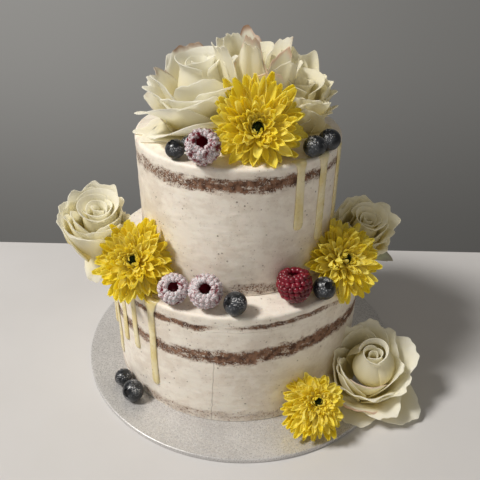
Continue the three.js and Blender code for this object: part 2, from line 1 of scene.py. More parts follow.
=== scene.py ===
import bpy, math, random
from mathutils import Matrix, Vector, noise


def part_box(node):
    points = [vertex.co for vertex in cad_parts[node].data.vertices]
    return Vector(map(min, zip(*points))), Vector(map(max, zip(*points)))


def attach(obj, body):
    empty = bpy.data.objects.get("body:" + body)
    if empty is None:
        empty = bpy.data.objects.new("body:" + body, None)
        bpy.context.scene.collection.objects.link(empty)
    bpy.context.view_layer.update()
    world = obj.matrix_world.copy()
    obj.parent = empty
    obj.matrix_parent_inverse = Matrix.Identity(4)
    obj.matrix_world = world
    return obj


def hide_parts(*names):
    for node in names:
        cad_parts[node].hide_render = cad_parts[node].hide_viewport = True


# A two-tier semi-naked wedding cake with roses, chrysanthemums and berries. Metres, front facing -Y.
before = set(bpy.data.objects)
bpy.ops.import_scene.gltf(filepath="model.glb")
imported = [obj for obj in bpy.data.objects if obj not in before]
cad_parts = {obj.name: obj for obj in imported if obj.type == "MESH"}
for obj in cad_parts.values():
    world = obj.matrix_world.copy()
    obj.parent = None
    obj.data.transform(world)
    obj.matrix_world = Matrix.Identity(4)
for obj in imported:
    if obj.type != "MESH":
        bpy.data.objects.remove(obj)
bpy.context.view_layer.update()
mm = 0.001


# Small tools
def leaveEdit():
    if bpy.context.mode != "OBJECT":
        bpy.ops.object.mode_set(mode="OBJECT")


def take(*pieces):  # only these are selected, the first one active
    leaveEdit()
    bpy.ops.object.select_all(action="DESELECT")
    for piece in pieces:
        piece.select_set(True)
    bpy.context.view_layer.objects.active = pieces[0]


def editOnly(piece, chooseFace=None, chooseEdge=None):  # edit mode with only the chosen faces or edges
    take(piece)
    bpy.ops.object.mode_set(mode="EDIT")
    bpy.ops.mesh.select_mode(type="FACE" if chooseFace else "EDGE")
    bpy.ops.mesh.select_all(action="DESELECT")
    leaveEdit()
    points = piece.data.vertices
    for face in piece.data.polygons if chooseFace else ():
        face.select = chooseFace(face)
    for edge in piece.data.edges if chooseEdge else ():
        edge.select = chooseEdge(points[edge.vertices[0]].co, points[edge.vertices[1]].co)
    bpy.ops.object.mode_set(mode="EDIT")


def closeMesh(piece):  # doubles merged, faces outward
    take(piece)
    bpy.ops.object.mode_set(mode="EDIT")
    bpy.ops.mesh.select_all(action="SELECT")
    bpy.ops.mesh.remove_doubles(threshold=1e-6)
    bpy.ops.mesh.normals_make_consistent(inside=False)
    leaveEdit()


def thicken(piece, thickness):  # gives a sheet its thickness, half on either side
    wall = piece.modifiers.new("wall", "SOLIDIFY")
    wall.thickness = thickness
    wall.offset = 0
    take(piece)
    bpy.ops.object.modifier_apply(modifier=wall.name)


def mark(piece, name, value):  # stores one value on the whole piece, for its material
    values = piece.data.attributes.new(name, "FLOAT", "POINT")
    values.data.foreach_set("value", [value] * len(piece.data.vertices))


def copyOf(master, matrix):  # a copy with its own mesh, placed by a matrix
    copy = bpy.data.objects.new(master.name, master.data.copy())
    bpy.context.collection.objects.link(copy)
    copy.data.transform(matrix)
    return copy


def joined(pieces, name):
    take(*pieces)
    bpy.ops.object.join()
    piece = bpy.context.object
    piece.name = piece.data.name = name
    return piece


def discard(*pieces):
    for piece in pieces:
        bpy.data.objects.remove(piece)


def handOver(piece, node, material, angle=60, name=None):  # the piece takes its node's place
    take(piece)
    bpy.ops.object.transform_apply(location=True, rotation=True, scale=True)
    bpy.ops.object.shade_smooth_by_angle(angle=math.radians(angle))
    piece.name = piece.data.name = name or node.replace("_", "")
    piece.data.materials.clear()
    piece.data.materials.append(material)
    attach(piece, "root")
    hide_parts(node)


def poseAt(place, axis):  # carries the origin to a place and local +Z to an axis
    turn = Vector((0, 0, 1)).rotation_difference(Vector(axis).normalized())
    return Matrix.Translation(place) @ turn.to_matrix().to_4x4()


def metres(*place):  # a place in millimetres
    return [c * mm for c in place]


def mix(a, b, t):
    return a + (b - a) * t


def smooth(low, high, x):
    t = max(0.0, min(1.0, (x - low) / (high - low)))
    return t * t * (3 - 2 * t)


def roundedEnd(share, least=0.0):  # from 1 to 0 along a quarter circle
    return math.sqrt(max(least, 1 - max(0.0, share) ** 2))


def ripple(x, y, z, size, seed=0):  # soft noise from -1 to 1 with lumps of about that size
    return noise.noise(Vector((x / size + seed, y / size, z / size)))


def colour(code):  # a screen colour such as "e9dfcf", as the shader takes it
    shares = [int(code[i:i + 2], 16) / 255 for i in (0, 2, 4)]
    return tuple(c / 12.92 if c <= 0.04045 else ((c + 0.055) / 1.055) ** 2.4 for c in shares) + (1.0,)


# Material building. The nodes go into the material that was begun last.
begun = []


def newMaterial(name):
    material = bpy.data.materials.new(name)
    material.use_nodes = True
    material.node_tree.nodes.clear()
    begun.append(material)


def put(kind, wires=None, **settings):  # one node, its settings, and what goes into its sockets
    tree = begun[-1].node_tree
    made = tree.nodes.new("ShaderNode" + kind)
    for setting, value in settings.items():
        setattr(made, setting, value)
    for socket, value in (wires or {}).items():
        if isinstance(value, bpy.types.NodeSocket):
            tree.links.new(value, made.inputs[socket])
        else:
            made.inputs[socket].default_value = value
    return made


def objectPoint():
    return put("TexCoord").outputs["Object"]


def sheetPoint():
    return put("UVMap").outputs["UV"]


def stretched(point, scale):
    return put("Mapping", {"Vector": point, "Scale": scale}).outputs["Vector"]


def cloud(point, scale, detail=3.0, roughness=0.55, distortion=0.0):
    wires = dict(Vector=point, Scale=scale, Detail=detail, Roughness=roughness, Distortion=distortion)
    return put("TexNoise", wires).outputs["Fac"]


def cells(point, scale):
    return put("TexVoronoi", {"Vector": point, "Scale": scale}).outputs["Distance"]


def partsOf(vector):
    return put("SeparateXYZ", {"Vector": vector}).outputs


def spread(value, low, high, newLow=0.0, newHigh=1.0):
    wires = {"Value": value, "From Min": low, "From Max": high, "To Min": newLow, "To Max": newHigh}
    return put("MapRange", wires, interpolation_type="SMOOTHSTEP").outputs["Result"]


def maths(operation, a, b=0.0):
    return put("Math", {0: a, 1: b}, operation=operation).outputs["Value"]


def plus(a, b):
    return maths("ADD", a, b)


def minus(a, b):
    return maths("SUBTRACT", a, b)


def times(a, b):
    return maths("MULTIPLY", a, b)


def blended(factor, a, b):  # the sockets 6 and 7 are the two colours
    return put("Mix", {0: factor, 6: a, 7: b}, data_type="RGBA").outputs[2]


def stored(name):
    return put("Attribute", attribute_name=name).outputs["Fac"]


def bumped(height, strength, distance, normal=None):
    wires = {"Height": height, "Strength": strength, "Distance": distance}
    if normal is not None:
        wires["Normal"] = normal
    return put("Bump", wires).outputs["Normal"]


def subsurface(weight, radius, scale):
    return {"Subsurface Weight": weight, "Subsurface Radius": radius, "Subsurface Scale": scale * mm}


def finished(wires, through=0.0):  # through: the share of light that passes a thin petal
    surface = put("BsdfPrincipled", wires).outputs["BSDF"]
    if through:
        glow = put("BsdfTranslucent", {"Color": wires["Base Color"]}).outputs["BSDF"]
        surface = put("MixShader", {0: through, 1: surface, 2: glow}).outputs["Shader"]
    put("OutputMaterial", {"Surface": surface})
    return begun[-1]


# Camera at the photograph's angle
cameraSet = dict(place=(-0.00565, -0.4043, 0.3578), down=31.68, turn=-0.458, roll=0.62, focal=42.0)


def placeCamera():
    data = bpy.data.cameras.new("camera")
    data.lens = cameraSet["focal"]
    data.clip_start = 0.01
    camera = bpy.data.objects.new("camera", data)
    bpy.context.collection.objects.link(camera)
    camera.matrix_world = (
        Matrix.Translation(cameraSet["place"])
        @ Matrix.Rotation(math.radians(cameraSet["turn"]), 4, "Z")
        @ Matrix.Rotation(math.radians(90 - cameraSet["down"]), 4, "X")
        @ Matrix.Rotation(math.radians(cameraSet["roll"]), 4, "Z")
    )
    bpy.context.scene.camera = camera


placeCamera()
print("camera placed")


# The silver card
cardStyle = dict(sides=256, edge=0.9 * mm, flatRim=4 * mm, foil=colour("d9d7d5"), shade=colour("bdbbb9"))


def foilMaterial():
    newMaterial("silverFoil")
    point = objectPoint()
    grain = cells(point, 700.0)
    fine = cloud(point, 900.0, 3.0, 0.7)
    broad = cloud(point, 14.0, 2.0)
    height = plus(times(grain, 0.7), fine)
    tone = spread(plus(times(broad, 0.5), fine), 0.6, 0.9)
    return finished({
        "Base Color": blended(tone, cardStyle["shade"], cardStyle["foil"]),
        "Metallic": 0.35,
        "Roughness": spread(grain, 0.1, 0.7, 0.22, 0.45),
        "Normal": bumped(height, 0.35, 0.25 * mm),
    })


def makeCard():
    low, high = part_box("silver_card")
    radius = (high.x - low.x) / 2
    thickness = high.z - low.z
    bpy.ops.mesh.primitive_cylinder_add(
        vertices=cardStyle["sides"], radius=radius, depth=thickness, location=(low + high) / 2
    )
    card = bpy.context.object
    editOnly(card, chooseFace=lambda face: abs(face.normal.z) > 0.9)
    bpy.ops.mesh.inset(thickness=cardStyle["flatRim"], depth=0)
    leaveEdit()
    rim = radius * 0.999
    editOnly(card, chooseEdge=lambda a, b: abs(a.z - b.z) < 1e-6 and min(a.xy.length, b.xy.length) > rim)
    bpy.ops.mesh.bevel(offset=cardStyle["edge"], segments=4, affect="EDGES")
    leaveEdit()
    handOver(card, "silver_card", foilMaterial(), 30, "silverCard")


makeCard()
print("silver card done")


# The tiers: thin scraped icing over dark sponge, which shows as ragged bands. Each band has keys of
# (angle round the tier, height of the middle, half width, strength), in degrees and millimetres above
# the tier's foot. The front is at -90. The top's middle is hidden, so it has no rings there.
tierStyle = dict(
    rowHeight=1.15 * mm, ringStep=1.3 * mm, roundTop=2.4 * mm, seam=0.35 * mm,
    lower=dict(
        sides=600, hiddenInside=70 * mm, above="upper_icing_base",
        layers=["icing_base", "sponge_band", "icing_middle", "sponge_thin", "icing_top"],
        bands=[
            [(-180, 66, 4.5, 0.7), (-150, 66, 5, 0.75), (-121, 65, 5, 0.8), (-88, 66.4, 5.9, 1),
             (-63, 70.2, 6.6, 1), (-48, 70.5, 6.6, 1), (-29, 67, 5.8, 1), (0, 66, 5, 0.7),
             (90, 67, 5.5, 0.9), (180, 66, 4.5, 0.7)],
            [(-180, 93, 1.8, 0.5), (-132, 93.3, 2.6, 0.95), (-106, 93.3, 2.6, 0.95),
             (-95, 94.5, 1.6, 0.25), (-80, 95.4, 2.2, 0.8), (-55, 97.4, 2.2, 0.8), (-41, 93, 1.8, 0.5),
             (0, 93, 2, 0.4), (90, 94, 2.4, 0.7), (180, 93, 1.8, 0.5)],
            [(-180, 3, 3, 0.28), (-112, 5, 6, 0.42), (-90, 5, 5, 0.34), (0, 3, 3, 0.25),
             (180, 3, 3, 0.28)],
        ],
    ),
    upper=dict(
        sides=480, hiddenInside=0, above="top_raspberry",
        layers=["icing_base", "sponge_band", "icing_top"],
        bands=[
            [(-180, 87, 3.4, 0.5), (-147, 88, 5.5, 0.6), (-122, 87.5, 5.6, 0.66), (-106, 87.5, 4.9, 1),
             (-60, 88, 4.9, 1), (-40, 88, 3.8, 0.7), (0, 87, 3, 0.4), (90, 87, 4.6, 0.9),
             (180, 87, 3.4, 0.5)],
            [(-180, 4, 3, 0.1), (-100, 5, 4, 0.15), (-84, 6, 5.5, 0.6), (-70, 4, 4, 0.5),
             (-58, 4, 3, 0.1), (180, 4, 3, 0.1)],
        ],
    ),
)
iceStyle = dict(
    cream=colour("f4ecdf"), thin=colour("dfd3c4"), crumb=colour("523526"), crumbLight=colour("8f6b54"),
    speck=colour("63503f"), crack=dict(bottom=-100.3, top=-98.5, height=63, width=0.3, shows=0.4),
)


def bandAt(keys, angle):  # middle, half width and strength of a band at an angle
    for (a0, *before), (a1, *after) in zip(keys, keys[1:]):
        if a0 <= angle <= a1:
            t = smooth(a0, a1, angle)
            return [mix(b, a, t) for b, a in zip(before, after)]
    return keys[-1][1:]


def bareSponge(point, tier):  # how far the sponge shows at a point, from 0 to 1
    x, y, z = point
    angle = math.degrees(math.atan2(y - tier["centre"].y, x - tier["centre"].x))
    height = (z - tier["foot"]) / mm
    ragged = 0.45 * ripple(x, y, z * 1.6, 9 * mm, 3) + 0.3 * ripple(x, y, z * 1.5, 3.2 * mm, 7)
    most = 0.0
    for keys in tier["bands"]:
        middle, half, strength = bandAt(keys, angle)
        off = abs(height - middle + 0.9 * ripple(x, y, z, 14 * mm, 11)) / half
        most = max(most, strength * smooth(1.5, 0.35, off + ragged))
    smear = smooth(0.1, 0.55, ripple(x * 0.7, y * 0.7, z * 2.4, 6 * mm, 21))
    return most * (1 - 0.45 * smear)


def reliefAt(point, bare):  # how far the surface stands in from the true round, in metres
    x, y, z = point
    wave = 0.35 * ripple(x, y, z * 0.8, 26 * mm, 5)
    scrape = 0.16 * ripple(x, y, z * 3.2, 7 * mm, 9)
    pits = 0.5 * ripple(x, y, z, 2.1 * mm, 13) + 0.25 * ripple(x, y, z, 1.2 * mm, 17)
    return mm * (0.45 - wave - scrape + bare * (0.45 - pits))


def makeLayer(node, tier, foot, material, lid=False):  # one layer of a tier, the lid with its rounded top
    head = tier["top"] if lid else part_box(node)[1].z + tierStyle["seam"]
    bpy.ops.mesh.primitive_cylinder_add(
        vertices=tier["sides"], radius=tier["radius"], depth=head - foot,
        location=(tier["centre"].x, tier["centre"].y, (head + foot) / 2),
    )
    layer = bpy.context.object
    bpy.ops.object.transform_apply(location=True)
    if lid:
        editOnly(layer, chooseEdge=lambda a, b: min(a.z, b.z) > head - 1e-6)
        bpy.ops.mesh.bevel(offset=tierStyle["roundTop"], segments=4, affect="EDGES")
        leaveEdit()
    rows = max(1, round((head - foot) / tierStyle["rowHeight"]))
    editOnly(layer, chooseEdge=lambda a, b: abs(a.z - b.z) > 2 * mm)
    bpy.ops.mesh.subdivide(number_cuts=rows)
    leaveEdit()
    if lid:
        editOnly(layer, chooseFace=lambda face: face.normal.z > 0.99)
        flat = tier["radius"] - tierStyle["roundTop"] - tier["hiddenInside"] - 4 * mm
        rings = int(flat / tierStyle["ringStep"])
        for _ in range(rings):
            bpy.ops.mesh.inset(thickness=tierStyle["ringStep"], depth=0)
        leaveEdit()
    shapeLayer(layer, tier, head)
    handOver(layer, node, material)
    return head


def shapeLayer(layer, tier, head):  # presses the relief into wall and top, and stores what is bare
    bare = layer.data.attributes.new("bare", "FLOAT", "POINT")
    nearTop = head > tier["foot"] + 90 * mm
    for point in layer.data.vertices:
        out = Vector((point.co.x - tier["centre"].x, point.co.y - tier["centre"].y, 0))
        share = bareSponge(point.co, tier)
        bare.data[point.index].value = share
        depth = reliefAt(point.co, share)
        onTop = smooth(tier["radius"] - 4 * mm, tier["radius"] - 2 * mm, out.length)
        level = smooth(head - 3 * mm, head - 0.5 * mm, point.co.z) if nearTop else 0
        if out.length > 1e-4:
            point.co -= out.normalized() * depth * onTop
        point.co.z -= 0.7 * depth * level * (1 - 0.5 * onTop)


def crackMask(point, tier):  # a fine upright crack in the icing
    crack = iceStyle["crack"]
    place = partsOf(point)
    x = minus(place["X"], tier["centre"].x)
    y = minus(place["Y"], tier["centre"].y)
    turn = times(maths("ARCTAN2", y, x), 180 / math.pi)
    foot, head = tier["foot"], tier["foot"] + crack["height"] * mm
    wires = {"Value": place["Z"], "From Min": foot, "From Max": head}
    wires.update({"To Min": crack["bottom"], "To Max": crack["top"]})
    line = put("MapRange", wires).outputs["Result"]
    wander = times(cloud(point, 130.0, 2.0), 0.9)
    off = minus(minus(turn, line), minus(wander, 0.45))
    off = maths("MAXIMUM", off, times(off, -1.0))
    below = spread(place["Z"], head, head - 4 * mm)
    return times(spread(off, crack["width"], 0.4 * crack["width"]), below)


def scrapedMaterial(name, tier):
    newMaterial(f"{name}Scraped")
    point = objectPoint()
    bare = stored("bare")
    fine = cloud(point, 520.0, 4.0, 0.65)
    streaks = cloud(stretched(point, (1.0, 1.0, 2.2)), 50.0, 4.0, 0.6)
    mottle = cloud(point, 120.0, 4.0, 0.7)
    broad = cloud(point, 22.0, 3.0)
    grit = cells(point, 420.0)
    dust = cloud(point, 1000.0, 3.0, 0.7)
    lumps = plus(times(fine, 0.6), times(dust, 0.8))
    share = plus(bare, times(minus(lumps, 0.7), 2.7))
    shows = spread(share, 0.4, 0.78)
    worn = plus(times(streaks, 0.35), times(broad, 0.4))
    worn = plus(worn, times(mottle, 0.4))
    thinness = times(spread(worn, 0.5, 0.68), 0.8)
    icing = blended(thinness, iceStyle["cream"], iceStyle["thin"])
    gathered = spread(cloud(point, 60.0, 2.0), 0.46, 0.62)
    large = times(spread(cells(point, 190.0), 0.17, 0.08), gathered)
    small = times(spread(grit, 0.26, 0.1), spread(mottle, 0.5, 0.62))
    specks = maths("MAXIMUM", times(large, 0.75), times(small, 0.45))
    icing = blended(specks, icing, iceStyle["speck"])
    edge = spread(bare, 0.05, 0.45)
    icing = blended(times(edge, 0.35), icing, iceStyle["crumbLight"])
    if name == "lower":
        cracked = times(crackMask(point, tier), iceStyle["crack"]["shows"])
        icing = blended(cracked, icing, iceStyle["speck"])
    toned = spread(cloud(point, 260.0, 3.0), 0.36, 0.62)
    crumb = blended(toned, iceStyle["crumb"], iceStyle["crumbLight"])
    rough = plus(times(grit, 0.8), fine)
    soft = bumped(plus(streaks, mottle), 0.3, 0.5 * mm)
    height = times(rough, plus(shows, 0.12))
    return finished({
        "Base Color": blended(shows, icing, crumb),
        "Roughness": spread(shows, 0.0, 1.0, 0.55, 0.95),
        **subsurface(0.12, (1.0, 0.7, 0.45), 2),
        "Normal": bumped(height, 0.6, 0.6 * mm, soft),
    })


def makeTier(name):
    low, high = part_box(f"{name}_icing_base")
    tier = dict(tierStyle[name], centre=(low + high) / 2, foot=low.z, radius=(high.x - low.x) / 2)
    tier["top"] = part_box(tier["above"])[0].z - tierStyle["seam"]  # what stands on it starts just above
    material = scrapedMaterial(name, tier)
    level = tier["foot"]
    for part in tier["layers"]:
        level = makeLayer(f"{name}_{part}", tier, level, material, part == tier["layers"][-1])
    return tier


lowerTier = makeTier("lower")
upperTier = makeTier("upper")
print("tiers done")


# White chocolate drips: angle round the tier, run down the wall, width of the run and of its pool
dripStyle = dict(
    thickness=2.5 * mm, inset=4.8 * mm, onTop=5, sides=14, rows=60,
    chocolate=colour("e2cf92"), pale=colour("ecdfb6"),
    lower=[(-174, 46, 6.5, 10), (-164, 66, 8, 11), (-155.5, 88, 7.5, 10), (-146, 60, 7.5, 10),
           (-137, 57, 6.5, 11), (-126.5, 84, 7.4, 15)],
    upper=[(-57.5, 51, 7.8, 12), (-41, 68, 9.5, 13.5), (-22, 72, 9.5, 13)],
)


def chocolateMaterial():
    newMaterial("whiteChocolate")
    point = objectPoint()
    tone = spread(cloud(point, 60.0, 3.0), 0.35, 0.65)
    return finished({
        "Base Color": blended(tone, dripStyle["chocolate"], dripStyle["pale"]),
        "Roughness": spread(cloud(point, 140.0, 2.0), 0.3, 0.7, 0.22, 0.38),
        **subsurface(0.2, (1.0, 0.8, 0.4), 3),
        "Normal": bumped(cloud(point, 90.0, 2.0), 0.2, 0.4 * mm),
    })


def makeDrip(tier, angle, run, width, pool):
    bpy.ops.mesh.primitive_cylinder_add(vertices=dripStyle["sides"], radius=1, depth=2)
    drip = bpy.context.object
    editOnly(drip, chooseEdge=lambda a, b: abs(a.z - b.z) > 1)
    bpy.ops.mesh.subdivide(number_cuts=dripStyle["rows"])
    leaveEdit()
    inset = dripStyle["inset"]
    length = (run + dripStyle["onTop"]) * mm
    turn = math.radians(angle)
    for point in drip.data.vertices:
        v = (1 - point.co.z) / 2
        down = v * length
        over = smooth(0, 1.5 * inset, down)
        neck = 0.8 * width
        full = mix(pool, neck, smooth(0, 0.2, v)) if v < 0.2 else mix(neck, width, v)
        bead, start = roundedEnd((v - 0.93) / 0.07), roundedEnd((0.03 - v) / 0.03)
        wobble = 1 + 0.08 * ripple(angle, v * 6, 0, 1.0)
        swell = 0.75 + 0.35 * smooth(0.75, 0.95, v)
        across = point.co.x * full * mm / 2 * bead * start * wobble
        out = point.co.y * dripStyle["thickness"] / 2 * bead * start * swell
        radius = tier["radius"] - inset * (1 - over) + out * over
        aside = turn + across / tier["radius"] + 0.01 * ripple(angle, v * 2.5, 5, 1.0)
        z = tier["top"] - max(0, down - inset) - 0.4 * mm * over + out * (1 - over)
        point.co = (
            tier["centre"].x + radius * math.cos(aside), tier["centre"].y + radius * math.sin(aside), z,
        )
    return drip


def makeDrips(tier, side, material):
    piece = joined([makeDrip(tier, *drip) for drip in dripStyle[side]], "drips")
    closeMesh(piece)
    handOver(piece, f"{side}_icing_top", material, name=f"{side}Drips")


chocolate = chocolateMaterial()
makeDrips(lowerTier, "lower", chocolate)
makeDrips(upperTier, "upper", chocolate)
print("drips done")


# Blueberries: one berry with a star-shaped crown, copied
blueberryStyle = dict(
    skin=colour("15181d"), bloom=colour("6d7278"), sugar=colour("e6e6e8"), crown=colour("0b0c0f"),
    squash=0.9, points=5, crownInside=0.31, crownOutside=0.46, crownHeight=0.1,
    berries=dict(  # radius, place, the way its crown looks
        top_blueberry_1=(6.8, (-46, -61.5), (-0.3, -0.3, 0.9)),
        top_blueberry_2=(6.3, (-37, -52.5), (0.4, -0.3, 0.6)),
        top_blueberry_3=(7.9, (45.8, -57.8), (-0.2, 0.3, 0.9)),
        top_blueberry_4=(8, (57, -46.1), (-0.25, -0.2, 0.9)),
        ledge_blueberry_1=(8.8, (-6, -98.2), (-0.5, -0.4, 0.5)),
        ledge_blueberry_2=(8.6, (58, -79.5), (0.2, -0.5, 0.6)),
        card_blueberry_1=(7.5, (-99.7, -63.7), (-0.6, 0.5, 0.5)),
        card_blueberry_2=(9.1, (-88.8, -80.2), (-0.5, -0.7, 0.4)),
    ),
)


def blueberryMaterial():
    newMaterial("blueberrySkin")
    point = objectPoint()
    patches = spread(cloud(point, 130.0, 4.0, 0.6), 0.42, 0.7)
    dust = spread(cloud(point, 900.0, 2.0), 0.45, 0.75)
    bloom = times(patches, plus(dust, 0.35))
    skin = blended(times(bloom, 0.7), blueberryStyle["skin"], blueberryStyle["bloom"])
    grains = spread(cells(point, 900.0), 0.44, 0.2)
    upward = partsOf(put("NewGeometry").outputs["Normal"])["Z"]
    settled = times(spread(upward, -0.1, 0.8), spread(patches, 0.0, 0.5))
    sugared = times(times(grains, settled), 0.8)
    skin = blended(sugared, skin, blueberryStyle["sugar"])
    hollow = stored("hollow")
    return finished({
        "Base Color": blended(hollow, skin, blueberryStyle["crown"]),
        "Roughness": spread(bloom, 0.0, 0.8, 0.3, 0.6),
        "Normal": bumped(cloud(point, 420.0, 3.0), 0.25, 0.3 * mm),
    })


def blueberryMaster():  # a berry of radius 1 with its crown at the top
    bpy.ops.mesh.primitive_uv_sphere_add(segments=40, ring_count=24, radius=1)
    berry = bpy.context.object
    editOnly(berry, chooseFace=lambda face: face.center.z > 0.93)
    bpy.ops.mesh.inset(thickness=0.03, depth=0.0)
    bpy.ops.mesh.extrude_region_move(TRANSFORM_OT_translate={"value": (0, 0, -0.16)})
    bpy.ops.transform.resize(value=(0.72, 0.72, 0.4))
    leaveEdit()
    hollow = berry.data.attributes.new("hollow", "FLOAT", "POINT")
    outside = blueberryStyle["crownOutside"]
    for point in berry.data.vertices:
        r = point.co.xy.length
        inside = r < blueberryStyle["crownInside"] and point.co.z > 0.5
        hollow.data[point.index].value = smooth(0.97, 0.86, point.co.z) if inside else 0
        if 0.3 < r < outside and point.co.z > 0.8:  # the crown's rim stands up in points
            angle = math.atan2(point.co.y, point.co.x)
            lift = blueberryStyle["crownHeight"] * max(0, math.cos(blueberryStyle["points"] * angle))
            point.co.z += lift * (outside - r) / 0.12
        point.co.z *= blueberryStyle["squash"]
    return berry


def setDown(piece, node):  # lowers or lifts a piece until its lowest point is the node's
    low = min(point.co.z for point in piece.data.vertices)
    piece.data.transform(Matrix.Translation((0, 0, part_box(node)[0].z - low)))


def makeBlueberries():
    material = blueberryMaterial()
    master = blueberryMaster()
    for count, (node, (radius, (x, y), axis)) in enumerate(blueberryStyle["berries"].items()):
        draw = random.Random(count)
        spin = Matrix.Rotation(draw.uniform(0, 6.28), 4, "Z")
        uneven = Matrix.Diagonal((draw.uniform(0.97, 1.0), draw.uniform(0.96, 1.0), 1.0, 1.0))
        size = Matrix.Scale(radius * mm, 4)
        berry = copyOf(master, poseAt(metres(x, y, 0), axis) @ spin @ uneven @ size)
        setDown(berry, node)
        handOver(berry, node, material, 50)
    discard(master)


makeBlueberries()
print("blueberries done")


# Raspberries: rows of drupelets on a round wall that is open at the top
raspberryStyle = dict(
    flesh=colour("7d1226"), deep=colour("5a0e1b"), sugar=colour("f6f2f4"),
    wall=0.8, drupelet=0.187, seed=40,
    # The wall's outline as shares of the berry's radius, from the round tip up and down into the
    # hollow: distance from the axis, height, drupelets round it
    rows=[(0.0, -0.82, 1), (0.27, -0.77, 7), (0.5, -0.63, 12), (0.67, -0.42, 15), (0.78, -0.16, 17),
          (0.83, 0.11, 18), (0.8, 0.37, 18), (0.68, 0.59, 16), (0.51, 0.66, 12)],
    berries=dict(  # radius, place, the way its hollow looks, how much sugar lies on it
        top_raspberry=(11.4, (-27, -71), (-0.05, -0.62, 0.78), 0.75),
        ledge_raspberry_1=(11, (-50, -85.6), (0.1, -0.66, 0.75), 0.85),
        ledge_raspberry_2=(12.2, (-26.6, -90), (-0.05, -0.6, 0.8), 0.9),
        ledge_raspberry_3=(12.8, (36, -83.3), (-0.1, 0.2, 0.97), 0.1),
    ),
)


def raspberryMaterial(name, frost):
    newMaterial(name)
    point = objectPoint()
    grains = cells(point, 1500.0)
    patches = cloud(point, 190.0, 4.0, 0.7)
    outside = stored("outside")
    sugar = times(spread(patches, 0.66 - 0.34 * frost, 0.78 - 0.34 * frost), outside)
    sugar = times(sugar, spread(grains, 0.75, 0.3, 0.35, 1.0))
    tone = spread(cloud(point, 120.0), 0.35, 0.65)
    flesh = blended(tone, raspberryStyle["deep"], raspberryStyle["flesh"])
    return finished({
        "Base Color": blended(times(sugar, 0.9), flesh, raspberryStyle["sugar"]),
        "Roughness": spread(sugar, 0.0, 0.7, 0.25, 0.75),
        **subsurface(0.15, (1.0, 0.25, 0.25), 2),
        "Normal": bumped(times(grains, sugar), 0.8, 0.5 * mm),
    })


def raspberryShape(seed):  # a berry of radius 1, its hollow open at the top
    draw = random.Random(seed)
    bpy.ops.mesh.primitive_uv_sphere_add(segments=28, ring_count=18, radius=raspberryStyle["wall"])
    wall = bpy.context.object
    editOnly(wall, chooseFace=lambda face: face.center.z > 0.6)
    bpy.ops.mesh.inset(thickness=0.12, depth=0)
    bpy.ops.mesh.extrude_region_move(TRANSFORM_OT_translate={"value": (0, 0, -0.5)})
    bpy.ops.transform.resize(value=(0.9, 0.9, 1))
    bpy.ops.mesh.extrude_region_move(TRANSFORM_OT_translate={"value": (0, 0, -0.3)})
    bpy.ops.transform.resize(value=(0.6, 0.6, 0.5))
    leaveEdit()
    bpy.ops.mesh.primitive_ico_sphere_add(subdivisions=3, radius=1)
    bead = bpy.context.object
    beads = []
    for row, (r, z, count) in enumerate(raspberryStyle["rows"]):
        for i in range(count):
            angle = 2 * math.pi * (i + 0.5 * (row % 2) + draw.uniform(-0.12, 0.12)) / count
            size = raspberryStyle["drupelet"] * draw.uniform(0.92, 1.12)
            place = Vector((r * math.cos(angle), r * math.sin(angle), z + draw.uniform(-0.03, 0.03)))
            lean = Vector((place.x, place.y, place.z * 0.9 + (0.3 if row > 6 else 0)))
            squash = Matrix.Diagonal((1.0, 1.0, 1.1, 1.0))
            beads.append(copyOf(bead, poseAt(place, lean) @ Matrix.Scale(size, 4) @ squash))
    mark(wall, "outside", 0.0)
    for one in beads:
        mark(one, "outside", 1.0)
    discard(bead)
    return joined([wall] + beads, "raspberry")


def makeRaspberries():
    for count, (node, (radius, (x, y), axis, frost)) in enumerate(raspberryStyle["berries"].items()):
        berry = raspberryShape(raspberryStyle["seed"] + count)
        size = Matrix.Scale(radius * mm, 4)
        berry.data.transform(poseAt(metres(x, y, 0), axis) @ size)
        setDown(berry, node)
        handOver(berry, node, raspberryMaterial(f"raspberrySkin{count}", frost))


makeRaspberries()
print("raspberries done")


# Chrysanthemums: rings of spoon-shaped florets round a small green heart
chrysanthemumStyle = dict(
    petal=colour("fff352"), pale=colour("fffab4"), deep=colour("f9d93c"), heart=colour("2c3a12"),
    thickness=0.01, through=0.5, buds=46, seed=100,
    # Rings from the outside in: count, angle from the axis, reach as a share of the radius, and how
    # high up the heart they sit
    rings=[(24, 100, 1.0, 0.0), (25, 91, 0.97, 0.03), (24, 80, 0.91, 0.05), (23, 69, 0.81, 0.07),
           (21, 58, 0.68, 0.09), (19, 47, 0.54, 0.1), (16, 37, 0.4, 0.11), (13, 27, 0.28, 0.12)],
    # Floret shapes: how hollow, how far the tip curls in. The first one is picked twice as often.
    shapes=((0.9, 0.25), (1.2, 0.5), (0.6, 0.05), (1.4, 0.8), (0.8, -0.15)),
    picks=(0, 0, 1, 2, 3, 4),
    # radius, centre, axis, and where the heart lies from the middle, as a share of the radius
    flowers=dict(
        top_chrysanthemum=(35, (8.5, -51, 230), (0, -0.82, 0.57), (-0.02, -0.13)),
        left_chrysanthemum=(34, (-79, -62, 127.5), (-0.12, -0.74, 0.66), (0, 0)),
        right_chrysanthemum=(32.5, (74, -54, 123.5), (0.3, -0.74, 0.6), (0, 0.04)),
        card_chrysanthemum=(26.5, (53.5, -108, 25.5), (-0.06, -0.74, 0.67), (0.16, 0.17)),
    ),
)


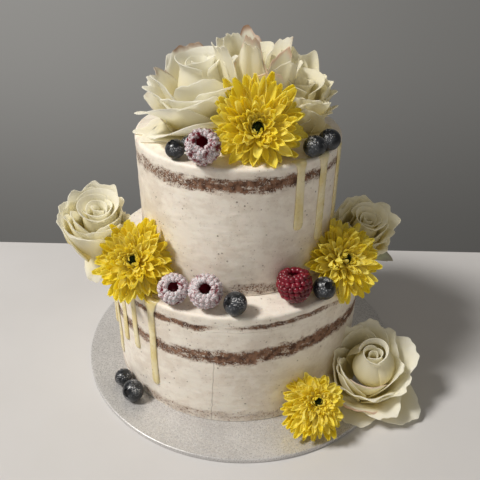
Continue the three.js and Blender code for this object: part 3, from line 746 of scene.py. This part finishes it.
def chrysanthemumMaterial():
    newMaterial("chrysanthemumPetal")
    uv = sheetPoint()
    along = partsOf(uv)["Y"]
    tint = stored("tint")
    ribs = cloud(stretched(uv, (9.0, 0.7, 1.0)), 1.0, 2.0)
    paler = times(tint, spread(ribs, 0.35, 0.7, 0.4, 1.0))
    petal = blended(paler, chrysanthemumStyle["petal"], chrysanthemumStyle["pale"])
    # Deeper yellow towards each floret's root: partly the flower's own colour, partly painted shade among
    # the crowded florets.
    petal = blended(spread(along, 0.4, 0.0), petal, chrysanthemumStyle["deep"])
    heart = stored("heart")
    return finished({
        "Base Color": blended(heart, petal, chrysanthemumStyle["heart"]),
        "Roughness": 0.6,
        "Specular IOR Level": 0.25,
        "Normal": bumped(ribs, 0.4, 0.4 * mm),
    }, chrysanthemumStyle["through"])


def floretMaster(cupped, curl):  # a floret of length 1 along +Y, its hollow side up
    bpy.ops.mesh.primitive_grid_add(x_subdivisions=4, y_subdivisions=8, size=2)
    floret = bpy.context.object
    for point in floret.data.vertices:
        u, v = point.co.x, math.sin(math.pi / 4 * (point.co.y + 1))
        half = 0.04 + 0.075 * smooth(0.1, 0.7, v)
        end = roundedEnd((v - 0.62) / 0.38, 0.03)
        rise = cupped * (abs(u) ** 1.6) * half + curl * max(0, v - 0.45) ** 2
        rise -= 0.05 * math.sin(math.pi * v)
        point.co = (u * half * end, v - 0.02 * u * u, rise)
    return floret


def makeChrysanthemum(seed, radius, centre, axis, heart):
    draw = random.Random(seed)
    masters = [floretMaster(cupped, curl) for cupped, curl in chrysanthemumStyle["shapes"]]
    heart = Vector(heart)
    florets = []
    for ring, (count, tilt, reach, sits) in enumerate(chrysanthemumStyle["rings"]):
        for i in range(count):
            facing = 2 * math.pi * (i + 0.37 * ring + draw.uniform(-0.3, 0.3)) / count
            way = Vector((math.cos(facing), math.sin(facing)))
            foot = heart + 0.07 * way
            tip = heart * (1 - reach) + way * reach * draw.uniform(0.78, 1.03)
            length = (tip - foot).length
            turn = math.atan2(tip.y - foot.y, tip.x - foot.x) - math.pi / 2
            lean = math.radians(tilt + draw.uniform(-11, 11))
            twist = draw.uniform(-0.4, 0.4)
            stand = Matrix.Translation((foot.x, foot.y, sits)) @ Matrix.Rotation(turn, 4, "Z")
            stand @= Matrix.Rotation(math.pi / 2 - lean, 4, "X") @ Matrix.Rotation(twist, 4, "Y")
            breadth = draw.uniform(0.7, 1.05) * mix(1.1, 0.55, ring / 7)
            shape = Matrix.Diagonal((breadth, length, length, 1.0))
            floret = copyOf(masters[draw.choice(chrysanthemumStyle["picks"])], stand @ shape)
            mark(floret, "tint", draw.uniform(0.1, 1.0))
            florets.append(floret)
    flower = joined(florets, "chrysanthemum")
    thicken(flower, chrysanthemumStyle["thickness"])
    discard(*masters)
    whole = joined([flower, chrysanthemumHeart(draw, heart)], "chrysanthemum")
    whole.data.transform(poseAt(metres(*centre), axis) @ Matrix.Scale(radius * mm, 4))
    return whole


def chrysanthemumHeart(draw, heart):  # a low dome of tight green buds
    bpy.ops.mesh.primitive_ico_sphere_add(subdivisions=2, radius=1)
    bud = bpy.context.object
    middle = Matrix.Translation((heart.x, heart.y, 0))
    core = Matrix.Translation((0, 0, 0.12)) @ Matrix.Diagonal((0.1, 0.1, 0.14, 1.0))
    buds = [copyOf(bud, middle @ core)]
    goldenAngle = 2.39996
    for i in range(chrysanthemumStyle["buds"]):  # a sunflower spiral
        out = math.sqrt((i + 0.5) / chrysanthemumStyle["buds"])
        angle = goldenAngle * i
        place = (0.11 * out * math.cos(angle), 0.11 * out * math.sin(angle), 0.27 - 0.09 * out * out)
        size = draw.uniform(0.013, 0.021)
        stand = middle @ poseAt(place, (place[0], place[1], 0.25))
        buds.append(copyOf(bud, stand @ Matrix.Diagonal((size, size, 2 * size, 1))))
    discard(bud)
    whole = joined(buds, "heart")
    mark(whole, "heart", 1.0)
    return whole


def makeChrysanthemums():
    material = chrysanthemumMaterial()
    for count, (node, flowerPlan) in enumerate(chrysanthemumStyle["flowers"].items()):
        flower = makeChrysanthemum(chrysanthemumStyle["seed"] + count, *flowerPlan)
        handOver(flower, node, material)


makeChrysanthemums()
print("chrysanthemums done")


# Roses, in degrees and millimetres
roseStyle = dict(
    cream=colour("fffef8"), base=colour("fef7d2"), deep=colour("f9efb8"), brown=colour("a0703f"),
    blush=colour("f0cfba"), through=0.55, thickness=0.5 * mm, cuts=(26, 24), heartCuts=(26, 14), seed=200,
    drop=3, overlap=2.2, curl=38, rim=1.2, widest=0.62, windFrom=40, windStep=137, steps=16,
)


# The way a petal faces with -90 at the front, its length, half width, angles from the axis at base,
# middle and tip, and the radius it bends round. Besides these, curl turns the tip out, pointed draws
# it to a point, rim rolls the sides back, ruffle waves the edge, slant tilts it, brown and blush tint it.
def petalOf(facing, length, half, lean, cup, **more):
    return dict(facing=facing, length=length, half=half, lean=lean, cup=cup, **more)


# Each rose: its place and axis, the radius of its middle and how far aside that lies, the petals wound
# round it (heart), the rings of petals from the outside in (cups) and those that hang out (loose)
roses = dict(
    top_rose_left=dict(
        at=(-29, -4, 219), axis=(-0.1, -0.12, 0.98), bud=(12, 0, 0), green=0.15,
        heart=dict(radius=20, height=46, mouth=0.7, flare=4, layers=5, reach=100),
        loose=[
            petalOf(-160, 47, 30, (90, 76, 90), 46, ruffle=2.5),
            petalOf(-124, 49, 38, (88, 60, 66), 48, ruffle=1.5, slant=13),
            petalOf(-60, 40, 26, (88, 60, 60), 46, ruffle=1.5),
        ],
        cups=[[
            petalOf(-140, 54, 34, (84, 44, 58), 36, ruffle=2, slant=11),
            petalOf(-98, 53, 30, (84, 34, 36), 34, ruffle=1, slant=9),
            petalOf(-22, 44, 28, (84, 24, 30), 32),
            petalOf(75, 54, 32, (84, 28, 34), 34, ruffle=1.5, brown=0.5),
            petalOf(152, 47, 32, (84, 36, 52), 35, ruffle=2.5, brown=0.4),
        ], [
            petalOf(-170, 51, 28, (80, 14, 20), 26, ruffle=1.5, brown=0.4),
            petalOf(-95, 52, 28, (80, 14, 14), 26, slant=6),
            petalOf(20, 50, 26, (80, 14, 10), 26),
            petalOf(105, 57, 28, (80, 14, 18), 26, brown=0.8),
        ]],
    ),
    top_rose_middle=dict(
        at=(7, 2, 219), axis=(0.04, -0.02, 1), bud=(10, 0, 0), green=0.6,
        heart=dict(radius=10, height=50, mouth=0.9, flare=2, layers=3, reach=90),
        loose=[],
        cups=[[
            petalOf(-140, 72, 15, (80, 8, 8), 19, rim=5, slant=4),
            petalOf(-84, 57, 23, (82, 18, 12), 25, pointed=4, blush=0.4, slant=4),
            petalOf(6, 55, 23, (80, 16, 12), 25, rim=4),
            petalOf(100, 67, 23, (80, 16, 8), 24, pointed=10, blush=0.6, brown=0.7),
            petalOf(165, 60, 24, (80, 16, 14), 24),
        ], [
            petalOf(-103, 76, 12, (74, 5, 0), 13.5, rim=6, blush=0.5),
            petalOf(-48, 63, 15, (74, 5, 0), 14.5, rim=4, pointed=4, blush=0.6),
            petalOf(40, 64, 19, (74, 8, 8), 16, brown=0.5),
            petalOf(130, 64, 19, (74, 8, 6), 16),
        ]],
    ),
    top_rose_right=dict(
        at=(36, -4, 217), axis=(0.14, -0.22, 0.96), bud=(10, 0, 0), green=1.1,
        heart=dict(radius=12, height=34, mouth=0.95, flare=4, layers=4, reach=100),
        loose=[petalOf(-50, 27, 24, (88, 66, 60), 32, ruffle=2)],
        cups=[[
            petalOf(-100, 42, 24, (80, 20, 18), 24, ruffle=2),
            petalOf(-35, 34, 24, (82, 28, 22), 26, ruffle=2.5),
            petalOf(22, 43, 29, (78, 8, -10), 26, ruffle=3),
            petalOf(78, 54, 29, (80, 14, 8), 26, ruffle=3, slant=7),
            petalOf(150, 52, 25, (80, 16, 16), 25, ruffle=2),
        ], [
            petalOf(-85, 40, 20, (74, 12, 10), 18, ruffle=1.5),
            petalOf(25, 39, 22, (74, 6, 0), 19, ruffle=2),
            petalOf(140, 46, 21, (74, 12, 12), 18, ruffle=1.5),
        ]],
    ),
    left_rose=dict(
        at=(-115, -26, 125), axis=(0.06, -0.32, 0.94), bud=(8.5, 3, 2), green=0.4,
        heart=dict(radius=14, height=38, mouth=0.9, flare=4, layers=5, reach=120),
        loose=[petalOf(-96, 27, 11, (106, 124, 140), 16)],
        cups=[[
            petalOf(-178, 46, 29, (78, 14, 8), 24, curl=60),
            petalOf(-104, 50, 29, (80, 16, 2), 24, curl=90),
            petalOf(-20, 45, 26, (80, 14, 12), 22, curl=60, ruffle=1),
            petalOf(80, 51, 31, (80, 12, 8), 24, ruffle=1),
        ], [
            petalOf(-140, 42, 21, (60, 3, 0), 16),
            petalOf(-30, 43, 23, (76, 6, 2), 18),
            petalOf(90, 43, 23, (76, 6, 2), 18),
        ]],
    ),
    right_rose=dict(
        at=(93, -12, 115), axis=(0.14, -0.38, 0.92), bud=(8.5, 1, 1), green=1.0,
        heart=dict(radius=11, height=34, mouth=0.9, flare=4, layers=5, reach=120),
        loose=[],
        cups=[[
            petalOf(-160, 38, 25, (82, 14, 26), 22),
            petalOf(-78, 37, 26, (84, 16, 38), 23),
            petalOf(22, 43, 29, (84, 14, 30), 24, ruffle=1.5, slant=3),
            petalOf(98, 43, 28, (82, 12, 22), 23),
        ], [
            petalOf(-140, 36, 20, (74, 4, 2), 15, curl=10),
            petalOf(-20, 36, 20, (74, 4, 2), 15, curl=10),
            petalOf(100, 37, 20, (74, 4, 2), 15, curl=10),
        ]],
    ),
    card_rose=dict(
        at=(99, -69, 16), axis=(-0.08, -0.34, 0.93), bud=(12.6, 6.4, 2), green=0.45,
        heart=dict(radius=19, height=46, mouth=0.45, flare=2, layers=4, reach=115),
        loose=[
            petalOf(-110, 43, 22, (100, 98, 96), 48),
            petalOf(-44, 45, 28, (94, 76, 82), 40),
        ],
        cups=[[
            petalOf(-130, 43, 30, (90, 32, 32), 29, rim=4, blush=0.8),
            petalOf(-70, 41, 25, (88, 44, 62), 29),
            petalOf(10, 54, 30, (86, 26, 38), 28, slant=5),
            petalOf(70, 56, 25, (80, 14, 16), 26),
            petalOf(160, 45, 20, (80, 8, 4), 22),
        ], [
            petalOf(-158, 45, 21, (56, 8, 4), 18),
            petalOf(-100, 41, 21, (60, 8, 8), 18, blush=0.5),
            petalOf(-18, 44, 24, (78, 16, 14), 21),
            petalOf(84, 47, 24, (77, 12, 8), 21),
        ]],
    ),
)


def petalPoint(petal, u, v):  # u from -1 to 1 across, v from 0 at the base to 1 at the tip
    length, half, cup, lean = petal["length"], petal["half"], petal["cup"], petal["lean"]
    facing, widest = petal["facing"], roseStyle["widest"]
    tipRun = petal.get("pointed", 0) / length * math.exp(-((u / 0.25) ** 2))
    ragged = 0.018 * math.sin(8 * u + facing) + 0.012 * math.sin(19 * u + 2.3 * facing)
    reach = v * (1 - 0.3 * abs(u) ** 3 + tipRun + ragged * v)
    steps = roseStyle["steps"]
    out, height = petal["start"], petal["rise"]
    for k in range(steps):
        along = (k + 0.5) / steps * reach
        t = 2 * along
        before, after, share = (lean[0], lean[1], t) if t < 1 else (lean[1], lean[2], t - 1)
        angle = mix(before, after, smooth(0, 1, share))
        angle += petal.get("curl", roseStyle["curl"]) * smooth(0.8, 1.05, along) ** 2
        out += length * reach / steps * math.sin(math.radians(angle))
        height += length * reach / steps * math.cos(math.radians(angle))
    widen = math.sin(math.pi / 2 * min(1, v / widest))
    narrow = 1 - 0.2 * max(0, (v - widest) / (1 - widest)) ** 2
    bend = u * half * (0.35 + 0.65 * widen) * narrow / cup
    turn = math.radians(facing)
    wave = petal.get("ruffle", 0) * v * v * math.sin(2.6 * math.pi * u + facing)
    wave += 0.5 * v * v * math.sin(5.3 * u + 7 * v + turn)
    edge = cup + wave + roseStyle["overlap"] * u * min(1, 2 * v)
    edge += petal.get("rim", roseStyle["rim"]) * v * max(0, abs(u) - 0.68) ** 2 / 0.1
    slope = petal.get("slant", 0) * u * v
    p = Vector((out - cup + edge * math.cos(bend), edge * math.sin(bend), height + 0.5 * wave + slope))
    p.rotate(Matrix.Rotation(turn, 3, "Z"))
    return p * mm


def wrapPoint(wrap, u, v):  # a petal of the heart, wound round the axis and turned out at its rim
    belly = 0.5 + 0.5 * math.sin(math.pi / 2 * min(1, v / 0.5))
    radius = wrap["radius"] * belly * mix(1, wrap["mouth"], smooth(0.45, 0.95, v))
    radius += wrap["flare"] * smooth(0.8, 1.0, v) ** 2 + 0.09 * wrap["radius"] * u
    radius += 0.5 * v * v * math.sin(4 * u + wrap["facing"])
    turn = math.radians(wrap["facing"] + u * wrap["reach"])
    height = wrap["height"] * v * (1 - 0.13 * abs(u) ** 2.5) + 0.4 * v * math.sin(7 * u + wrap["facing"])
    aside = wrap["aside"]
    return Vector((radius * math.cos(turn) + aside[0], radius * math.sin(turn) + aside[1], height)) * mm


def petalSheet(shape, petal, draw, stand, floor=None, cuts=None):  # a grid that is bent into a petal
    across, along = cuts or roseStyle["cuts"]
    bpy.ops.mesh.primitive_grid_add(x_subdivisions=across, y_subdivisions=along, size=2)
    sheet = bpy.context.object
    for point in sheet.data.vertices:
        point.co = stand @ shape(petal, point.co.x, (point.co.y + 1) / 2)
        if floor is not None:  # it rests on what lies under it
            point.co.z = max(point.co.z, floor)
    mark(sheet, "tint", petal.get("tint", draw.random()))
    mark(sheet, "brown", petal.get("brown", 0))
    mark(sheet, "blush", petal.get("blush", 0))
    return sheet


def halfway(petal, inner, turn):  # a petal of a ring halfway in
    facing = petal["facing"] + turn
    nearest = max(inner, key=lambda other: math.cos(math.radians(other["facing"] - facing)))
    between = dict(facing=facing, ruffle=petal.get("ruffle", 0.8), rim=petal.get("rim", roseStyle["rim"]))
    for size in ("length", "half", "cup"):
        between[size] = mix(petal[size], nearest[size], 0.5)
    between["lean"] = [mix(a, b, 0.5) for a, b in zip(petal["lean"], nearest["lean"])]
    return between


def makeRose(name, rose, seed, material):
    draw = random.Random(seed)
    radius, *aside = rose["bud"]
    cups, loose, heart = rose["cups"], rose["loose"], rose["heart"]
    stand = poseAt(metres(*rose["at"]), rose["axis"])
    under = dict(top=upperTier["top"], card=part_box("silver_card")[1].z).get(name.split("_")[0])
    plan = [(petal, len(cups) + 0.5 * (len(loose) - n)) for n, petal in enumerate(loose)]
    for n, cup in enumerate(cups):
        plan += [(petal, len(cups) - n) for petal in cup]
        if n + 1 < len(cups):
            plan += [(halfway(petal, cups[n + 1], 180 / len(cup)), len(cups) - n - 0.5) for petal in cup]
    sheets = []
    for n, (petal, level) in enumerate(plan):
        rooted = dict(petal, start=0.55 * radius, rise=-roseStyle["drop"] * level)
        floor = under and under + (1 + 0.3 * min(n, 6)) * mm
        sheets.append(petalSheet(petalPoint, rooted, draw, stand, floor))
    for n in range(heart["layers"]):
        share = 1 - n / heart["layers"]
        wrap = dict(
            radius=heart["radius"] * share ** 0.85, mouth=heart["mouth"], flare=heart["flare"] * share,
            height=heart["height"] * (0.88 + 0.12 * share) + draw.uniform(-1, 1), aside=aside,
            facing=roseStyle["windFrom"] + roseStyle["windStep"] * n, reach=heart["reach"] + 6 * n,
            # Inner wraps lean more to yellow: partly the heart's own colour, partly painted shade deep in
            # the rose.
            tint=1.0 - 0.6 * share,
        )
        sheets.append(petalSheet(wrapPoint, wrap, draw, stand, cuts=roseStyle["heartCuts"]))
    flower = joined(sheets, name)
    thicken(flower, roseStyle["thickness"])
    handOver(flower, name, material)


def petalMaterial(name, green):
    newMaterial(name)
    uv = sheetPoint()
    across, along, _ = partsOf(uv)
    veins = cloud(stretched(uv, (26.0, 1.6, 1.0)), 1.0, 3.0, 0.6, 0.4)
    blotch = cloud(objectPoint(), 60.0, 3.0)
    tint = stored("tint")
    ribbed = times(minus(veins, 0.5), 0.5)
    # Painted shade mixed with the rose's own colour: towards the petals' base and in the heart's inner
    # wraps the cream turns yellow, partly the rose's own yellow and partly painted shade deep in the
    # flower; green sets how far the whole rose leans that way.
    depth = plus(spread(along, 1.0, 0.3), ribbed)
    depth = times(depth, plus(times(tint, 0.3), 0.4 + 0.4 * green))
    depth = plus(depth, 0.3 * green)
    petal = blended(depth, roseStyle["cream"], roseStyle["base"])
    baseYellowAndShade = times(spread(along, 0.45, 0.0), 0.6)
    petal = blended(baseYellowAndShade, petal, roseStyle["deep"])
    side = maths("ABSOLUTE", minus(across, 0.5))
    nearEdge = maths("MAXIMUM", spread(along, 0.9, 1.0), spread(side, 0.42, 0.5))
    patchy = times(nearEdge, spread(blotch, 0.42, 0.6))
    petal = blended(times(stored("blush"), nearEdge), petal, roseStyle["blush"])
    petal = blended(times(stored("brown"), patchy), petal, roseStyle["brown"])
    return finished({
        "Base Color": petal,
        "Roughness": 0.6,
        "Specular IOR Level": 0.3,
        "Sheen Weight": 0.1,
        "Normal": bumped(plus(veins, blotch), 0.3, 0.5 * mm),
    }, roseStyle["through"])


for count, (name, rose) in enumerate(roses.items()):
    petals = petalMaterial(name.replace("_", "") + "Petal", rose["green"])
    makeRose(name, rose, roseStyle["seed"] + count, petals)
print("roses done")


# The green leaf of the calyx under the right rose
sepalStyle = dict(
    at=(101, -16, 106.5), green=colour("bcc2a8"), tip=colour("9c9684"), thickness=0.8 * mm,
    cuts=(10, 20), seed=7,
    petal=petalOf(0, 22, 6, (100, 96, 124), 12, start=0, rise=0, slant=3, pointed=4, curl=10),
)


def leafMaterial():
    newMaterial("sepalLeaf")
    uv = sheetPoint()
    along = partsOf(uv)["Y"]
    veins = cloud(stretched(uv, (14.0, 2.0, 1.0)), 1.0, 3.0)
    toTip = spread(along, 0.6, 1.0)
    return finished({
        "Base Color": blended(toTip, sepalStyle["green"], sepalStyle["tip"]),
        "Roughness": spread(veins, 0.3, 0.7, 0.45, 0.6),
        "Normal": bumped(veins, 0.5, 0.4 * mm),
    })


def makeSepal():
    stand = Matrix.Translation(metres(*sepalStyle["at"]))
    draw = random.Random(sepalStyle["seed"])
    leaf = petalSheet(petalPoint, sepalStyle["petal"], draw, stand, cuts=sepalStyle["cuts"])
    thicken(leaf, sepalStyle["thickness"])
    handOver(leaf, "right_rose_sepal", leafMaterial(), 40, "rightRoseSepal")


makeSepal()
print("sepal done")


# Plain pale table and soft light from the left
stageStyle = dict(
    table=colour("d1cfce"), tableShade=colour("b7b2ac"), size=6.0, tableEnd=0.159, tableSlant=0.029,
    # The wall's colours are painted shade: lighter at the left where the key light falls, darker to the
    # right and at the foot.
    wallAt=2.6, wallFrom=-2.5, wallHeight=4.0, wallLitLeft=colour("c8c9c9"), wallShadedRight=colour("b1b2b2"),
    wallShadedFoot=colour("202020"), world=colour("94908a"), worldStrength=0.47, lightsAimAt=(0, 0, 0.12),
    bounces=12,  # light has to pass through several petals
    lights=[
        dict(name="key", place=(-2.14, -0.64, 2.8), size=0.7, power=118.0, tint=(1.0, 0.975, 0.94)),
        dict(name="fill", place=(0.4, -1.6, 1.1), size=1.6, power=4.0, tint=(1.0, 0.96, 0.9)),
    ],
)


def stagePlane(name, corner, sideA, sideB, material):
    bpy.ops.mesh.primitive_plane_add(size=1, location=(0, 0, 0))
    plane = bpy.context.object
    plane.name = name
    for point, (a, b) in zip(plane.data.vertices, ((0, 0), (1, 0), (0, 1), (1, 1))):
        point.co = Vector(corner) + a * Vector(sideA) + b * Vector(sideB)
    plane.data.materials.append(material)


def wallMaterial():
    newMaterial("greyWall")
    place = partsOf(objectPoint())
    # Painted shade on the wall: lighter at the left, darker to the right and towards the bottom.
    shadeToRight = spread(place["X"], -1.2, 1.2)
    wall = blended(shadeToRight, stageStyle["wallLitLeft"], stageStyle["wallShadedRight"])
    foot = spread(place["Z"], -0.3, -1.6, 0.0, 0.3)
    return finished({
        "Base Color": blended(foot, wall, stageStyle["wallShadedFoot"]),
        "Roughness": 0.9,
    })


def tableMaterial():
    newMaterial("paleTable")
    tone = times(spread(cloud(objectPoint(), 9.0, 3.0), 0.3, 0.7), 0.12)
    return finished({
        "Base Color": blended(tone, stageStyle["table"], stageStyle["tableShade"]),
        "Roughness": 0.6,
    })


def makeStage():
    size, end = stageStyle["size"], stageStyle["tableEnd"]
    slant = stageStyle["tableSlant"] * size  # its far edge comes nearer to the right
    corner = (-size / 2, end - size + slant / 2, 0)
    stagePlane("table", corner, (size, -slant, 0), (0, size, 0), tableMaterial())
    corner = (-size, stageStyle["wallAt"], stageStyle["wallFrom"])
    stagePlane("wall", corner, (2 * size, 0, 0), (0, 0, stageStyle["wallHeight"]), wallMaterial())
    world = bpy.data.worlds.new("world")
    bpy.context.scene.world = world
    world.use_nodes = True
    background = world.node_tree.nodes["Background"].inputs
    background["Color"].default_value = stageStyle["world"]
    background["Strength"].default_value = stageStyle["worldStrength"]
    target = Vector(stageStyle["lightsAimAt"])
    for light in stageStyle["lights"]:
        data = bpy.data.lights.new(light["name"], "AREA")
        data.energy, data.size, data.color = light["power"], light["size"], light["tint"]
        lamp = bpy.data.objects.new(light["name"], data)
        bpy.context.collection.objects.link(lamp)
        lamp.location = light["place"]
        lamp.rotation_euler = (target - lamp.location).to_track_quat("-Z", "Y").to_euler()
    bpy.context.scene.view_settings.view_transform = "Standard"
    bpy.context.scene.cycles.diffuse_bounces = stageStyle["bounces"]


makeStage()
print("stage and light done")
